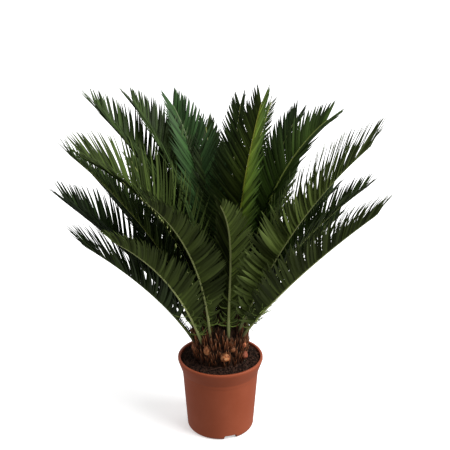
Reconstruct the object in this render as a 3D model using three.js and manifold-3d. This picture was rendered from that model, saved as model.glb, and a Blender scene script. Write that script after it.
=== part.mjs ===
// A sago palm, Cycas revoluta, in its plastic nursery pot.
// Millimetres, +Z up. The origin is the middle of the flat underside of the pot.
// The front of the plant faces -Y. Headings are degrees, 0 at +X and 90 at +Y.

import * as THREE from "three";
import { ConvexGeometry } from "three/addons/geometries/ConvexGeometry.js";
import { mergeVertices } from "three/addons/utils/BufferGeometryUtils.js";
import Module from "manifold-3d";

const wasm = await Module();
wasm.setup();

// ---------------------------------------------------------------- driving dimensions

const CLEARANCE = 0.3; // kept between any two pieces that touch on the real plant

const POT = {
  height: 150,
  rimRadius: 82.5,
  mouthRadius: 77.5, // inner radius at the rim
  neckRadius: 73.6, // outer radius where the wall starts to flare
  neckHeight: 120,
  baseRadius: 65, // where the line of the wall meets the ground, before the rounding
  lipFoot: 145.5, // the flare ends here, at the foot of the upright rim
  wall: 2,
  floor: 3,
  edge: 1.2, // rounding of the rim
  heel: 7, // rounding of the bottom edge
  flarePower: 1.25,
  flareSteps: 5,
  segments: 36,
};

const HEEL_CORNER = 1 - Math.SQRT1_2; // middle of a quarter round, from its corner

const DRAIN = { count: 3, firstHeading: 288, width: 25, height: 9, depth: 20 };

const SOIL = { edgeHeight: 145, middleHeight: 148, middleRadius: 40 };

const CAUDEX = {
  centre: 185, // height of the widest ring
  radius: 52,
  riseAbove: 52,
  dropBelow: 70,
  fullness: 4, // power of the barrel shape: 2 is an ellipse, more is straighter
  foot: 137, // sunk in the soil
  rings: 7,
  segments: 20,
};

// Dry scales and cut leaf bases that clothe the stem, ring upon ring.
const SCALE = {
  rings: 5,
  perRing: 12,
  firstHeight: 150,
  ringStep: 13,
  width: 13,
  rise: 26,
  flare: 5, // how far the point stands off the stem
  sunk: 4,
  thick: 2.5,
};

// Round offset buds on the flank of the stem: heading, height and radius of each.
const BUDS = [
  { heading: 280, height: 172, radius: 9 },
  { heading: 242, height: 184, radius: 8 },
  { heading: 205, height: 179, radius: 7 },
  { heading: 330, height: 164, radius: 7 },
  { heading: 296, height: 186, radius: 6 },
  { heading: 328, height: 186, radius: 5 },
  { heading: 75, height: 170, radius: 8 },
  { heading: 140, height: 176, radius: 7 },
];
const BUD = { sunk: 0.35, around: 6, rows: 5 };

const RIB = {
  baseHalfWidth: 4.2,
  tipHalfWidth: 1.3,
  depthRatio: 1.8, // depth of the keel, in half widths
  petiole: 0.1, // share of the length with no leaflets
  bladeEnd: 0.97,
  petioleSteps: 2,
  fineSteps: 120, // steps in which a rib's curve is followed
};

const LEAFLET = {
  perSide: 20,
  length: 84, // at mid frond, on a frond of the reference length
  referenceFrond: 470,
  baseShare: 0.38, // length of the lowest leaflets
  baseGain: 2.4,
  taperStart: 0.5,
  tipLoss: 0.56,
  taperPower: 1.8,
  baseAngle: 62, // from the rib, at the foot of the frond
  tipAngle: 22,
  anglePower: 1.5, // how late the angle narrows
  vee: 38, // both rows rise by this much above the rib
  tipShare: 0.35, // width of the chisel tip, in base widths
  trials: [1, 0.8, 0.6, 0.42], // shares of the full length that are tried in turn
  probe: 0.5, // half thickness added when looking for neighbours
};

// One row for each frond. seat: distance from the axis and height where it leaves the
// stem. lean: degrees from upright at the foot and at the tip, eased by the power.
// sway: how far the heading turns on the way. turn: roll of the blade about its rib.
// leaf: size of its leaflets against the usual.
const FRONDS = [
  // front
  { heading: 289, seat: [47, 207], length: 335, lean: [2, 51], ease: 1.3, sway: -38, turn: -14, leaf: 0.85 },
  { heading: 248, seat: [47, 206], length: 386, lean: [9, 54], ease: 0.95, sway: -10, turn: -20, leaf: 0.95 },
  { heading: 316, seat: [43, 209], length: 480, lean: [25, 46], ease: 1.6, sway: 8, turn: 22, leaf: 1.35 },
  // right
  { heading: 324, seat: [51, 206], length: 390, lean: [33.5, 47.5], ease: 0.7, turn: 4, leaf: 1.25 },
  { heading: 355, seat: [44, 206], length: 366, lean: [21, 51.5], ease: 0.9, turn: 10 },
  { heading: 12, seat: [37, 218], length: 430, lean: [9, 53], ease: 2.1, turn: 33, leaf: 1.15 },
  // upright, in the middle and at the back
  { heading: 22, seat: [27, 220], length: 424, lean: [0, 15.5], ease: 1.1, turn: 38, leaf: 1.05 },
  { heading: 38, seat: [30, 220], length: 412, lean: [10, 38], ease: 1.2, turn: 15 },
  { heading: 42, seat: [20, 224], length: 424, lean: [6, 27], ease: 1.3, turn: 70, leaf: 0.5 },
  { heading: 101, seat: [17, 225], length: 378, lean: [5, 42], ease: 1.3 },
  { heading: 116, seat: [30, 221], length: 395, lean: [12, 56], ease: 1.1, turn: -15 },
  { heading: 155, seat: [30, 219], length: 470, lean: [3, 51], ease: 0.75, leaf: 1.3 },
  { heading: 140, seat: [28, 221], length: 454, lean: [2, 53], ease: 1.1, turn: 4, leaf: 1.25 },
  { heading: 119, seat: [24, 223], length: 442, lean: [3, 56], ease: 1.5, turn: -6, leaf: 1.15 },
  { heading: 69, seat: [22, 223], length: 412, lean: [4, 20], ease: 1, turn: -10, leaf: 0.9 },
  // left
  { heading: 205, seat: [30, 213], length: 425, lean: [3, 57], ease: 0.9, turn: -30, leaf: 1.6 },
  { heading: 190, seat: [38, 207], length: 426, lean: [13, 47.5], ease: 0.75, turn: -8 },
  { heading: 175, seat: [44, 197], length: 353, lean: [32.5, 52.5], ease: 0.8, turn: -8, leaf: 1.5 },
  { heading: 227, seat: [49, 192], length: 332, lean: [21, 56], ease: 1.05 },
  { heading: 200, seat: [52, 189], length: 299, lean: [28, 52.5], ease: 0.7, turn: -4, leaf: 1.55 },
  // low, round the back
  { heading: 40, seat: [46, 204], length: 350, lean: [38, 60], ease: 1 },
  { heading: 62, seat: [49, 200], length: 380, lean: [38, 60], ease: 1 },
  { heading: 92, seat: [50, 200], length: 400, lean: [36, 60], ease: 1 },
  { heading: 125, seat: [50, 200], length: 400, lean: [36, 58], ease: 1 },
  { heading: 152, seat: [48, 200], length: 365, lean: [31, 50], ease: 1 },
  { heading: 22, seat: [49, 200], length: 290, lean: [37, 52], ease: 1 },
];

// ---------------------------------------------------------------- materials

function finish(colour, roughness) {
  return new THREE.MeshStandardMaterial({ color: colour, roughness, metalness: 0 });
}

const MATERIALS = {
  pot: finish(0x8a4a38, 0.5),
  soil: finish(0x1d1613, 0.95),
  caudex: finish(0x5a3f2e, 0.9),
  frond: finish(0x46603a, 0.55),
};

// ---------------------------------------------------------------- solids

const radians = THREE.MathUtils.degToRad;
const lerp = THREE.MathUtils.lerp;

// The point at a radius, heading and height about the axis of the plant.
function around(radius, heading, height) {
  const angle = radians(heading);
  return new THREE.Vector3(radius * Math.cos(angle), radius * Math.sin(angle), height);
}

const WELD = 1e-3; // points closer than this are one
const TINY = 1e-9; // less than any real share of a length

// A manifold-3d solid of a closed geometry.
function solidOf(geometry) {
  const bare = geometry.clone();
  bare.deleteAttribute("normal");
  bare.deleteAttribute("uv");
  const merged = mergeVertices(bare, WELD);
  return new wasm.Manifold(
    new wasm.Mesh({
      numProp: 3,
      vertProperties: new Float32Array(merged.attributes.position.array),
      triVerts: new Uint32Array(merged.index.array),
    }),
  );
}

// The three.js geometry of a solid, with flat faces.
function geometryOf(solid) {
  const mesh = solid.getMesh();
  const geometry = new THREE.BufferGeometry();
  geometry.setAttribute("position", new THREE.BufferAttribute(mesh.vertProperties, 3));
  geometry.setIndex(new THREE.BufferAttribute(mesh.triVerts, 1));
  const flat = geometry.toNonIndexed();
  flat.computeVertexNormals();
  return flat;
}

// A turned solid about +Z. The profile of [radius, height] runs up the outside.
function turned(profile, segments) {
  const points = profile.map(([radius, height]) => new THREE.Vector2(radius, height));
  return solidOf(new THREE.LatheGeometry(points, segments).rotateX(Math.PI / 2));
}

function box(width, depth, height, place) {
  return solidOf(new THREE.BoxGeometry(width, depth, height).applyMatrix4(place));
}

// ---------------------------------------------------------------- pot and soil

// Rises from 0 at the neck to 1 at the foot of the lip.
function flare(height) {
  const share = (height - POT.neckHeight) / (POT.lipFoot - POT.neckHeight);
  return THREE.MathUtils.clamp(share, 0, 1) ** POT.flarePower;
}

function outerRadius(height) {
  const wallShare = Math.min(height / POT.neckHeight, 1);
  const wall = lerp(POT.baseRadius, POT.neckRadius, wallShare);
  return wall + (POT.rimRadius - POT.neckRadius) * flare(height);
}

function innerRadius(height) {
  const straight = Math.min(height / POT.neckHeight, 1);
  const wall = lerp(POT.baseRadius, POT.neckRadius, straight) - POT.wall;
  return wall + (POT.mouthRadius - POT.neckRadius + POT.wall) * flare(height);
}

// Heights at which the wall's profile has a point, from the neck to the lip.
function flareHeights() {
  const { flareSteps, neckHeight, lipFoot } = POT;
  return Array.from({ length: flareSteps + 1 }, (_, i) => lerp(neckHeight, lipFoot, i / flareSteps));
}

function drainCuts(grow) {
  const cuts = [];
  for (let i = 0; i < DRAIN.count; i++) {
    const heading = DRAIN.firstHeading + (360 / DRAIN.count) * i;
    const size = [2 * DRAIN.depth, DRAIN.width + 2 * grow, 2 * (DRAIN.height + grow)];
    const place = new THREE.Matrix4()
      .makeRotationZ(radians(heading))
      .setPosition(around(POT.baseRadius - grow, heading, 0));
    cuts.push(box(...size, place));
  }
  return cuts;
}

function makePot() {
  const { height, rimRadius, mouthRadius, edge, heel, floor } = POT;
  const heights = flareHeights();
  const outside = heights.map((z) => [outerRadius(z), z]);
  const inside = heights.map((z) => [innerRadius(z), z]).reverse();
  const profile = [
    [0, 0],
    [outerRadius(0) - heel, 0],
    [outerRadius(0) - heel * HEEL_CORNER, heel * HEEL_CORNER],
    [outerRadius(heel), heel],
    ...outside,
    [rimRadius, height - edge],
    [rimRadius - edge, height],
    [mouthRadius + edge, height],
    [mouthRadius, height - edge],
    ...inside,
    [innerRadius(floor), floor],
    [0, floor],
  ];
  return drainCuts(0).reduce((pot, cut) => pot.subtract(cut), turned(profile, POT.segments));
}

function makeSoil(stem) {
  const foot = POT.floor + CLEARANCE;
  const levels = flareHeights().filter((z) => z < SOIL.edgeHeight);
  const wall = [...levels, SOIL.edgeHeight].map((z) => [innerRadius(z) - CLEARANCE, z]);
  const profile = [
    [0, foot],
    [innerRadius(foot) - CLEARANCE, foot],
    ...wall,
    [SOIL.middleRadius, SOIL.middleHeight],
    [0, SOIL.middleHeight],
  ];
  const plug = turned(profile, POT.segments);
  return [stem, ...drainCuts(CLEARANCE)].reduce((soil, cut) => soil.subtract(cut), plug);
}

// ---------------------------------------------------------------- caudex

function caudexRadius(height) {
  const { centre, radius, riseAbove, dropBelow, fullness } = CAUDEX;
  const share = Math.abs(height - centre) / (height > centre ? riseAbove : dropBelow);
  return radius * Math.sqrt(Math.max(0, 1 - share ** fullness));
}

// The stem as a turned solid, larger than life by grow all over.
function caudexCore(grow) {
  const { centre, riseAbove, dropBelow, foot, rings, segments } = CAUDEX;
  const lowest = Math.asin((foot - centre) / dropBelow);
  const profile = [[0, foot - grow]];
  for (let i = 0; i < rings; i++) {
    const angle = lerp(lowest, Math.PI / 2, i / rings);
    const height = centre + Math.sin(angle) * (angle > 0 ? riseAbove : dropBelow);
    profile.push([caudexRadius(height) + grow, height + grow * Math.sin(angle)]);
  }
  profile.push([0, centre + riseAbove + grow]);
  return turned(profile, segments);
}

// One dry scale: a pointed tongue whose foot is sunk in the stem.
function scaleSolid(heading, height) {
  const { width, rise, flare, sunk, thick } = SCALE;
  const surface = caudexRadius(height);
  const half = THREE.MathUtils.radToDeg(width / 2 / surface);
  const top = height + rise;
  const tip = Math.max(caudexRadius(top), surface - sunk) + flare;
  return solidOf(
    new ConvexGeometry([
      around(surface - sunk, heading - half, height),
      around(surface - sunk, heading + half, height),
      around(surface + thick, heading - half / 2, height + sunk),
      around(surface + thick, heading + half / 2, height + sunk),
      around(surface - sunk, heading, height + rise / 2),
      around(tip, heading, top),
    ]),
  );
}

function makeScales(ribs) {
  const scales = [];
  for (let ring = 0; ring < SCALE.rings; ring++) {
    for (let i = 0; i < SCALE.perRing; i++) {
      const heading = (360 / SCALE.perRing) * (i + (ring % 2) / 2);
      const scale = scaleSolid(heading, SCALE.firstHeight + SCALE.ringStep * ring);
      if (!ribs.some((rib) => touches(rib, scale))) scales.push(scale);
    }
  }
  return scales;
}

function makeBuds() {
  return BUDS.map(({ heading, height, radius }) => {
    const place = around(caudexRadius(height) - radius * BUD.sunk, heading, height);
    const ball = new THREE.SphereGeometry(radius, BUD.around, BUD.rows);
    return solidOf(ball.translate(place.x, place.y, place.z));
  });
}

// ---------------------------------------------------------------- fronds

// Positions and frames at even steps along a rib, from its seat to its tip.
function ribFrames(frond, shares) {
  const place = around(frond.seat[0], frond.heading, frond.seat[1]);
  const frames = [];
  let next = 0;
  for (let i = 0; i <= RIB.fineSteps; i++) {
    const share = i / RIB.fineSteps;
    const frame = frameAt(frond, share, place);
    while (next < shares.length && shares[next] <= share + TINY) {
      frames.push({ ...frame, share: shares[next], place: frame.place.clone() });
      next++;
    }
    place.addScaledVector(frame.along, frond.length / RIB.fineSteps);
  }
  return frames;
}

// along runs up the rib, up faces the axis of the plant and side is to the right.
function frameAt(frond, share, place) {
  const lean = radians(lerp(...frond.lean, share ** frond.ease));
  const outward = around(1, frond.heading + (frond.sway ?? 0) * share, 0);
  const rise = new THREE.Vector3(0, 0, 1);
  const along = outward.clone().multiplyScalar(Math.sin(lean)).addScaledVector(rise, Math.cos(lean));
  const flat = outward.clone().multiplyScalar(-Math.cos(lean)).addScaledVector(rise, Math.sin(lean));
  const turn = radians(frond.turn ?? 0);
  const level = along.clone().cross(flat);
  const side = level.clone().multiplyScalar(Math.cos(turn)).addScaledVector(flat, -Math.sin(turn));
  const up = flat.clone().multiplyScalar(Math.cos(turn)).addScaledVector(level, Math.sin(turn));
  return { place, along, side, up };
}

function ribShares() {
  const shares = [];
  for (let i = 0; i < RIB.petioleSteps; i++) shares.push((RIB.petiole * i) / RIB.petioleSteps);
  const steps = 2 * LEAFLET.perSide;
  for (let i = 0; i <= steps; i++) shares.push(lerp(RIB.petiole, RIB.bladeEnd, i / steps));
  shares.push(1);
  return shares;
}

// The three corners of the rib's section at each frame: left, right and keel.
function ribSections(frames) {
  return frames.map(({ place, side, up, share }) => {
    const half = lerp(RIB.baseHalfWidth, RIB.tipHalfWidth, share);
    return {
      left: place.clone().addScaledVector(side, -half),
      right: place.clone().addScaledVector(side, half),
      keel: place.clone().addScaledVector(up, -half * RIB.depthRatio),
    };
  });
}

function leafletLength(frond, share) {
  const { length, referenceFrond, baseShare, baseGain, taperStart, tipLoss, taperPower } = LEAFLET;
  const growing = Math.min(1, baseShare + baseGain * Math.max(0, share - RIB.petiole));
  const late = Math.max(0, share - taperStart) / (1 - taperStart);
  const size = (frond.leaf ?? 1) * Math.sqrt(frond.length / referenceFrond);
  return length * size * growing * (1 - tipLoss * late ** taperPower);
}

// The two ends of a leaflet's chisel tip, on the segment between two frames.
function leafletTip(frond, from, to, sign, shorten) {
  const share = (from.share + to.share) / 2;
  const angle = radians(lerp(LEAFLET.baseAngle, LEAFLET.tipAngle, share ** LEAFLET.anglePower));
  const vee = radians(LEAFLET.vee);
  const reach = leafletLength(frond, share) * shorten;
  const base = from.place.clone().lerp(to.place, 0.5);
  const tip = base
    .addScaledVector(from.along, reach * Math.cos(angle))
    .addScaledVector(from.side, sign * reach * Math.sin(angle) * Math.cos(vee))
    .addScaledVector(from.up, reach * Math.sin(angle) * Math.sin(vee));
  const half = (from.place.distanceTo(to.place) * LEAFLET.tipShare) / 2;
  return {
    near: tip.clone().addScaledVector(from.along, -half),
    far: tip.clone().addScaledVector(from.along, half),
  };
}

// A closed geometry of the rib, with leaflets on the segments that have tips.
// tips[i] is null or { sign, near, far } for the segment from section i to i + 1.
function frondGeometry(sections, apex, tips) {
  const points = [];
  const tri = (...corners) => points.push(...corners.flatMap((p) => [p.x, p.y, p.z]));
  const quad = (a, b, c, d) => {
    tri(a, b, c);
    tri(a, c, d);
  };
  const leaf = (a, b, c, d, nearA, nearB) => {
    quad(a, b, nearB, nearA);
    tri(b, c, nearB);
    quad(c, d, nearA, nearB);
    tri(d, a, nearA);
  };
  const first = sections[0];
  const last = sections[sections.length - 1];
  tri(first.left, first.keel, first.right);
  for (let i = 0; i + 1 < sections.length; i++) {
    const a = sections[i];
    const b = sections[i + 1];
    const tip = tips[i];
    quad(a.left, a.right, b.right, b.left);
    if (tip && tip.sign > 0) leaf(a.keel, b.keel, b.right, a.right, tip.near, tip.far);
    else quad(a.keel, b.keel, b.right, a.right);
    if (tip && tip.sign < 0) leaf(b.keel, a.keel, a.left, b.left, tip.far, tip.near);
    else quad(b.keel, a.keel, a.left, b.left);
  }
  tri(last.left, last.right, apex);
  tri(last.right, last.keel, apex);
  tri(last.keel, last.left, apex);
  const geometry = new THREE.BufferGeometry();
  geometry.setAttribute("position", new THREE.Float32BufferAttribute(points, 3));
  return geometry;
}

// A frond before its leaflets: its frames, its sections and its bare rib.
function layOut(frond) {
  const frames = ribFrames(frond, ribShares());
  const apex = frames.pop().place;
  const sections = ribSections(frames);
  const tips = sections.map(() => null);
  const rib = solidOf(frondGeometry(sections, apex, tips));
  return { frond, frames, apex, sections, tips, rib: rib.subtract(fatStem) };
}

// ---------------------------------------------------------------- keeping leaflets apart

function boundsOf(solid) {
  const { min, max } = solid.boundingBox();
  return new THREE.Box3(new THREE.Vector3(...min), new THREE.Vector3(...max));
}

const boundsCache = new Map();
function cachedBounds(solid) {
  if (!boundsCache.has(solid)) boundsCache.set(solid, boundsOf(solid));
  return boundsCache.get(solid);
}

function touches(a, b) {
  if (!cachedBounds(a).intersectsBox(cachedBounds(b))) return false;
  return !a.intersect(b).isEmpty();
}

// A leaflet a little thicker than it is made, for finding what it would touch.
function leafletProbe(plan, i, tip) {
  const a = plan.sections[i];
  const b = plan.sections[i + 1];
  const edge = tip.sign > 0 ? "right" : "left";
  const { up } = plan.frames[i];
  const points = [];
  for (const corner of [a[edge], b[edge], a.keel, b.keel, tip.near, tip.far]) {
    points.push(corner.clone().addScaledVector(up, LEAFLET.probe));
    points.push(corner.clone().addScaledVector(up, -LEAFLET.probe));
  }
  return solidOf(new ConvexGeometry(points));
}

// Every frond grows one leaflet in turn, from the tip inwards, so none takes all the
// room. A leaflet that would touch another frond is tried shorter, then left out.
function growLeaflets(plans, others) {
  const taken = plans.map((plan) => [plan.rib]);
  const fixed = [...others];
  const last = plans[0].sections.length - 2;
  for (let i = last; i >= RIB.petioleSteps; i--) {
    plans.forEach((plan, own) => {
      const sign = i % 2 ? 1 : -1;
      const rivals = [...fixed, ...taken.filter((_, k) => k !== own).flat()];
      for (const shorten of LEAFLET.trials) {
        const ends = leafletTip(plan.frond, plan.frames[i], plan.frames[i + 1], sign, shorten);
        const tip = { sign, ...ends };
        const probe = leafletProbe(plan, i, tip);
        if (rivals.some((rival) => touches(rival, probe))) continue;
        plan.tips[i] = tip;
        taken[own].push(probe);
        break;
      }
    });
  }
}

// ---------------------------------------------------------------- the plant

const fatStem = caudexCore(CLEARANCE);
const plans = FRONDS.map(layOut);
const ribs = plans.map((plan) => plan.rib);
const caudex = [...makeScales(ribs), ...makeBuds()].reduce((a, b) => a.add(b), caudexCore(0));
const pot = makePot();
const soil = makeSoil(fatStem);
growLeaflets(plans, [caudex, pot]);

const plant = new THREE.Group();
plant.name = "sago_palm";

function place(name, solid, material) {
  const mesh = new THREE.Mesh(geometryOf(solid), material);
  mesh.name = name;
  plant.add(mesh);
}

place("pot", pot, MATERIALS.pot);
place("soil", soil, MATERIALS.soil);
place("caudex", caudex, MATERIALS.caudex);
plans.forEach(({ sections, apex, tips }, i) => {
  const frond = solidOf(frondGeometry(sections, apex, tips)).subtract(fatStem);
  place(`frond_${String(i + 1).padStart(2, "0")}`, frond, MATERIALS.frond);
});

export default plant;
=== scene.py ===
"""A sago palm in its plastic nursery pot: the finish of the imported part.

Metres, +Z up. The front of the plant faces -Y. Headings are degrees, 0 at +X and 90 at +Y.
"""

import math
from types import SimpleNamespace

import bpy
import numpy as np
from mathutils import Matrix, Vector, noise


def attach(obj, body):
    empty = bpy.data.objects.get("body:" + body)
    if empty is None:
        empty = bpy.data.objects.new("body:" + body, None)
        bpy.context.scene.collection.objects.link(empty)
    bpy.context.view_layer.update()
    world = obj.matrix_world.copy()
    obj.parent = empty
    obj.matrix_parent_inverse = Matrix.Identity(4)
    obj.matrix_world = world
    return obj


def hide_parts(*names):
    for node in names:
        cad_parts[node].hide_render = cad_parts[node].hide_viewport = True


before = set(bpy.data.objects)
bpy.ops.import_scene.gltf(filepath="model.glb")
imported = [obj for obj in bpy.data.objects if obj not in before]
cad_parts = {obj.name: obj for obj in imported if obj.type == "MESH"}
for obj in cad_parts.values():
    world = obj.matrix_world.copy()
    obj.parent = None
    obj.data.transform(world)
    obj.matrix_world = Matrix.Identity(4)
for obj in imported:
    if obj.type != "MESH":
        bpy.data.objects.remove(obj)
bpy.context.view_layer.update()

# ---------------------------------------------------------------- sizes
# Lengths are in metres and angles in degrees. The rest are shares, ratios, powers and counts.

POT = SimpleNamespace(
    height=0.150,
    rim_radius=0.0825,
    mouth_radius=0.0775,
    neck_radius=0.0736,
    neck_height=0.120,
    base_radius=0.0650,
    lip_foot=0.1455,
    wall=0.002,
    floor=0.003,
    edge=0.0012,
    heel=0.007,
    heel_turn=(-78, -8),  # the arc of the heel, from nearly down to nearly straight out
    flare_power=1.25,
    steps=(0.1240, 0.1150),  # heights of the two faint steps in the wall
    step_proud=0.0004,
    step_height=0.0012,
    step_fade=0.010,  # they fade out over this height under the lip
    hub=0.012,  # radius of the innermost ring of the base
    base_rings=5,
    outer_rows=120,
    inner_rows=20,
    segments=144,
)
DRAIN = SimpleNamespace(
    count=3, first_heading=288, width=0.025, height=0.009, depth=0.020, corner=0.003,
)
SOIL = SimpleNamespace(
    edge_height=0.145,
    middle_height=0.148,
    wall_top=0.144,
    gap=0.0003,  # between the peat and the pot
    edge_gap=0.0006,
    below_rim=0.003,
    bumps=0.0022,
    lump=0.012,
    wall_rows=24,
    rings=40,
    segments=120,
    crumbs_inside=0.030,  # radius of the ring that crumbs lie on, and its gap to the pot
    crumbs_gap=0.0035,
)
FIBRE = SimpleNamespace(
    steps=9,
    half_width=0.00045,
    taper=0.7,
    ridge=1.6,
    lying_height=0.0035,
    arch=0.0025,
    swing=50,  # how far its direction turns to either side
    swing_span=3.2,  # how much of a swing, in radians, it makes on its length
)
CAUDEX = SimpleNamespace(
    centre=0.185,
    radius=0.052,
    rise_above=0.052,
    drop_below=0.070,
    fullness=4,
    foot=0.137,
    foot_gap=0.001,
    least_radius=0.020,
    under_scales=0.002,
    grain=0.006,
    grain_depth=0.0016,
    grain_stretch=0.4,
    rings=40,
    segments=96,
)
SCALE = SimpleNamespace(
    levels=(0.0, 0.12, 0.3, 0.5, 0.68, 0.84, 0.94),
    narrowing=0.35,
    point_power=3,
    thinning_power=0.7,
    shoulder=0.55,
    back_bulge=0.2,
)
# Scales on the stem's flank, and how far single ones stray from their even spiral.
FLANK = SimpleNamespace(
    turn=137.508,  # from each scale to the next, so that no two rows line up
    height_spread=0.003,
    heading_spread=8,
    sunk=(0.0005, 0.0030),
    length_spread=(0.75, 1.2),
    lean_spread=(-0.07, 0.15),  # this and the next two are in radians
    side_lean=0.16,
    spin=0.3,
)
# Slender scales among the feet of the fronds: from the innermost to the outermost, and how
# far single ones stray.
CROWN = SimpleNamespace(
    radii=(0.016, 0.050),
    heights=(0.228, 0.200),
    height_spread=(-0.008, 0.004),
    lengths=(0.022, 0.036),
    leans=(3, 12),
    lean_spread=(-6, 7),
    side_lean=0.12,  # this and the next are in radians
    spin=0.3,
)
BUD = SimpleNamespace(
    rows=14,
    sides=20,
    sunk=0.05,
    roughness=0.13,
    lumps=1.6,
    layers=(0.6, 2.0, 3),  # of its roughness: fall-off, how much finer each is, how many
    # painted shade: a bud is painted darker towards the stem, with these tones next to the stem and on
    # its front
    tones=(0.15, 1.1),  # next to the stem and on the front
    front_start=0.25,  # share of the front's tone halfway round, and its gain towards the front
    front_gain=0.9,
)
RIB = SimpleNamespace(
    base_half_width=0.0034,
    tip_half_width=0.0012,
    taper_power=0.7,
    top_ratio=0.55,
    depth_ratio=1.25,
    petiole=0.1,
    blade_end=0.985,
    curve_steps=120,
    steps=46,
    sides=8,
)
LEAFLET = SimpleNamespace(
    spacing=0.0045,
    stagger=0.25,  # each row is moved this far, in spacings, one outwards and one inwards
    width=0.0062,
    length=0.084,
    reference_frond=0.470,
    base_share=0.38,
    base_gain=2.4,
    taper_start=0.5,
    tip_loss=0.56,
    taper_power=1.8,
    full_width_length=0.036,  # shorter leaflets are narrower
    least_width=0.2,
    breadths=(1.08, 0.72),  # at the foot and at the tip of the frond
    base_angle=62,
    tip_angle=22,
    least_angle=6,
    angle_power=1.5,
    vee=38,
    roll=22,
    thickness=0.0006,
    fold=0.3,
    attached=(0.75, -0.1),  # aside and up from the rib's line, in half widths of the rib
)
# A leaflet is followed from its foot at these shares of its length, with these half widths
# against its widest. Its section has four corners: far edge, ridge, near edge, underside.
STATIONS = np.array([0.0, 0.05, 0.16, 0.34, 0.52, 0.68, 0.82, 0.93])
BREADTH = np.array([0.75, 0.88, 1.0, 1.0, 0.92, 0.76, 0.52, 0.26])
SECTION = 4
# How far single leaflets differ from each other.
SPREAD = SimpleNamespace(
    place=0.12,  # in spacings
    length=(0.95, 1.04),
    width=(0.85, 1.05),
    angle=1.5,
    bend=(2, 16),
    arch=(0, 20),
    vee=4,
    roll=7,
    tone=(0.40, 1.65),
)
# The lowest leaflets of a frond are shorter, more bent and less even.
LOWEST = SimpleNamespace(
    reach=0.15, shorter=0.4, narrower=0.15, closer=8, angle_spread=15, more_bend=(10, 60),
)
# Thin curled leaflets that stray near the foot of a frond.
HOOK = SimpleNamespace(
    count=30,
    longest_bare=0.15,  # a frond that is bare for this share or more has none
    feet=(0.07, 0.26),
    length=(0.016, 0.034),
    angle=(35, 85),
    bend=(30, 130),
    vee=(-40, 60),
    width=0.0022,
    # painted highlight: a hook is painted this much lighter
    shade=2.2,
)
# Spines on the bare foot of a frond.
SPINE = SimpleNamespace(length=0.0105, first=0.04, lift=30)


def frond(
    heading, seat, length, lean, ease,
    sway=0, turn=0, leaf=1, tint_and_light="deep", shade=(1, 1), curl=1, bare=RIB.petiole,
):
    """seat: distance from the axis and height where it leaves the stem. lean: degrees from
    upright at the foot and at the tip, eased by the power. sway: how far the heading turns
    on the way. turn: roll of the blade about its rib. leaf: size of its leaflets. shade:
    painted light and shade, how much its left and its right row are painted lighter or
    darker, seen from the stem. curl: how much its leaflets bend. bare: share of its length
    with spines in place of leaflets."""
    return SimpleNamespace(
        heading=heading, seat=seat, length=length, lean=lean, ease=ease,
        sway=sway, turn=turn, leaf=leaf, tint_and_light=tint_and_light, shade=shade, curl=curl, bare=bare,
    )


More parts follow.
